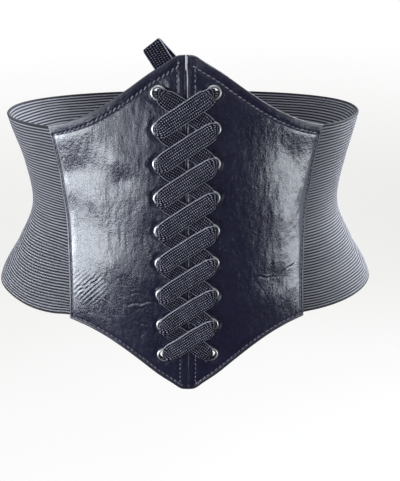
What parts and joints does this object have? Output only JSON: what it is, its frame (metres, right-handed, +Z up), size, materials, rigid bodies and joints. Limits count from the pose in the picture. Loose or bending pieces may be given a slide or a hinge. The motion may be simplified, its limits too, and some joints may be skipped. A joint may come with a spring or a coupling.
{
  "type": "corset belt",
  "caption": "Laced corset belt: peaked leather-look front panels with metal eyelets and a flat lace, wide ribbed elastic round the sides, studded tab at the back.",
  "frame": {"origin": "middle of the waist that the belt closes round, at mid-height of the elastic", "axes": "+Z up the body, -Y out of the front, +X to the right of someone looking at the front"},
  "size_m": [0.2676, 0.1789, 0.2184],
  "materials": {
    "panel_leather": "semi-gloss, fine creases",
    "tab_leather": "semi-gloss, plain",
    "elastic_band": "matt, level ribs",
    "lace_braid": "matt flat braid",
    "eyelet_metal": "polished nickel",
    "stud_metal": "polished nickel"
  },
  "bodies": {
    "root": {"front_panel_left": "panel_leather", "elastic_left": "elastic_band", "back_tab_left": "tab_leather", "eyelet_left_1": "eyelet_metal", "eyelet_left_2": "eyelet_metal", "eyelet_left_3": "eyelet_metal", "eyelet_left_4": "eyelet_metal", "eyelet_left_5": "eyelet_metal", "eyelet_left_6": "eyelet_metal", "eyelet_left_7": "eyelet_metal", "eyelet_left_8": "eyelet_metal", "eyelet_left_9": "eyelet_metal", "front_panel_right": "panel_leather", "elastic_right": "elastic_band", "back_tab_right": "tab_leather", "eyelet_right_1": "eyelet_metal", "eyelet_right_2": "eyelet_metal", "eyelet_right_3": "eyelet_metal", "eyelet_right_4": "eyelet_metal", "eyelet_right_5": "eyelet_metal", "eyelet_right_6": "eyelet_metal", "eyelet_right_7": "eyelet_metal", "eyelet_right_8": "eyelet_metal", "eyelet_right_9": "eyelet_metal", "back_stud_1": "stud_metal", "back_stud_2": "stud_metal", "back_stud_3": "stud_metal", "back_stud_4": "stud_metal", "lace": "lace_braid"}
  },
  "joints": []
}
